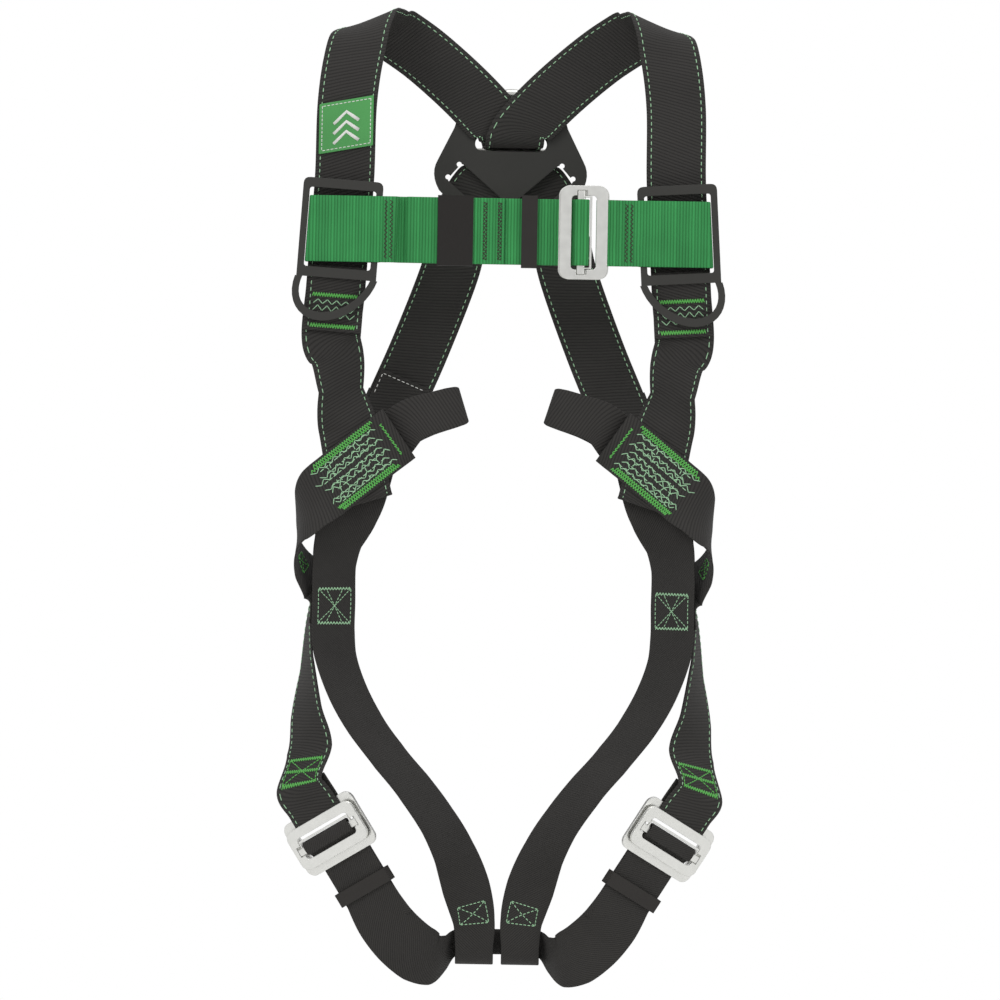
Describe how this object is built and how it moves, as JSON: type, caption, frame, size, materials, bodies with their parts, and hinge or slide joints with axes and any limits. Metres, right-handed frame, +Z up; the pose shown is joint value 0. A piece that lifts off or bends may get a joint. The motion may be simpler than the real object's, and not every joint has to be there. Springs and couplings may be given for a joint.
{
  "type": "full-body fall-arrest harness",
  "caption": "Full-body webbing harness with a dorsal ring on a plate, buckled chest strap, side D-frames, textile front loops and pass-through leg buckles.",
  "frame": {"origin": "inside top of the dorsal ring's eye, where a hook bears when the harness hangs", "axes": "+Z up, -Y the way the wearer faces, +X the wearer's left"},
  "size_m": [0.3391, 0.1232, 0.7451],
  "materials": {
    "black_webbing": "woven polyester harness webbing, charcoal, green edge stitching",
    "green_webbing": "woven polyester harness webbing, green, lengthwise ribs",
    "elastic": "knitted elastic, matt",
    "frame_plastic": "moulded polyamide, satin, fine grain",
    "plate_plastic": "moulded polyamide, satin",
    "keeper_plastic": "moulded polyethylene, satin",
    "ring_steel": "forged steel, zinc plated, satin",
    "buckle_steel": "pressed steel, zinc plated, tumbled edges",
    "buckle_alloy": "pressed aluminium alloy, tumbled satin",
    "patch_rubber": "moulded soft PVC, matt"
  },
  "bodies": {
    "webbing": {"dorsal_plate": "plate_plastic", "shoulder_patch": "patch_rubber", "label_pocket": "black_webbing", "chest_strap_buckle_side": "green_webbing", "chest_strap_receiver_side": "green_webbing", "leg_strap": "black_webbing", "chest_buckle_receiver": "buckle_steel", "right_shoulder_strap": "black_webbing", "right_d_frame": "frame_plastic", "right_frame_tie_loop": "black_webbing", "right_hip_strap": "black_webbing", "right_ventral_loop": "black_webbing", "right_thigh_strap": "black_webbing", "right_leg_riser": "black_webbing", "right_leg_buckle_receiver": "buckle_alloy", "left_shoulder_strap": "black_webbing", "left_d_frame": "frame_plastic", "left_frame_tie_loop": "black_webbing", "left_hip_strap": "black_webbing", "left_ventral_loop": "black_webbing", "left_thigh_strap": "black_webbing", "left_leg_riser": "black_webbing", "left_leg_buckle_receiver": "buckle_alloy"},
    "dorsal_ring": {"dorsal_d_ring": "ring_steel"},
    "chest_plate": {"chest_buckle_plate": "buckle_steel"},
    "chest_bar": {"chest_buckle_sliding_bar": "buckle_steel"},
    "chest_elastic": {"chest_elastic_keeper": "elastic"},
    "chest_slider": {"chest_keeper": "keeper_plastic"},
    "right_leg_plate": {"right_leg_buckle_plate": "buckle_alloy"},
    "right_leg_bar": {"right_leg_buckle_sliding_bar": "buckle_alloy"},
    "right_leg_slider": {"right_leg_keeper": "keeper_plastic"},
    "left_leg_plate": {"left_leg_buckle_plate": "buckle_alloy"},
    "left_leg_bar": {"left_leg_buckle_sliding_bar": "buckle_alloy"},
    "left_leg_slider": {"left_leg_keeper": "keeper_plastic"}
  },
  "joints": [
    {"name": "dorsal_ring_swing", "type": "hinge", "parent": "webbing", "child": "dorsal_ring", "pos_m": [0, 0, -0.042], "axis": [-1, 0, 0], "range_deg": [0, 135]},
    {"name": "chest_plate_rock", "type": "hinge", "parent": "webbing", "child": "chest_plate", "pos_m": [0.054, -0.10955, -0.105], "axis": [0, 0, -1], "range_deg": [0, 5]},
    {"name": "chest_bar_travel", "type": "slide", "parent": "chest_plate", "child": "chest_bar", "axis": [1, 0, 0], "range_m": [0, 0.0012]},
    {"name": "chest_elastic_slide", "type": "slide", "parent": "webbing", "child": "chest_elastic", "axis": [1, 0, 0], "range_m": [-0.014, 0.012]},
    {"name": "chest_keeper_slide", "type": "slide", "parent": "webbing", "child": "chest_slider", "axis": [1, 0, 0], "range_m": [-0.01, 0.012]},
    {"name": "right_leg_plate_rock", "type": "hinge", "parent": "webbing", "child": "right_leg_plate", "pos_m": [-0.12924, -0.09016, -0.56554], "axis": [0.7344, -0.5, 0.4589], "range_deg": [0, 5]},
    {"name": "right_leg_bar_travel", "type": "slide", "parent": "right_leg_plate", "child": "right_leg_bar", "axis": [-0.5299, 0, 0.848], "range_m": [0, 0.0009]},
    {"name": "right_leg_keeper_slide", "type": "slide", "parent": "webbing", "child": "right_leg_slider", "axis": [-0.5299, 0, 0.848], "range_m": [-0.002, 0.008]},
    {"name": "left_leg_plate_rock", "type": "hinge", "parent": "webbing", "child": "left_leg_plate", "pos_m": [0.12924, -0.09016, -0.56554], "axis": [0.7344, 0.5, -0.4589], "range_deg": [0, 5]},
    {"name": "left_leg_bar_travel", "type": "slide", "parent": "left_leg_plate", "child": "left_leg_bar", "axis": [0.5299, 0, 0.848], "range_m": [0, 0.0009]},
    {"name": "left_leg_keeper_slide", "type": "slide", "parent": "webbing", "child": "left_leg_slider", "axis": [0.5299, 0, 0.848], "range_m": [-0.002, 0.008]}
  ]
}
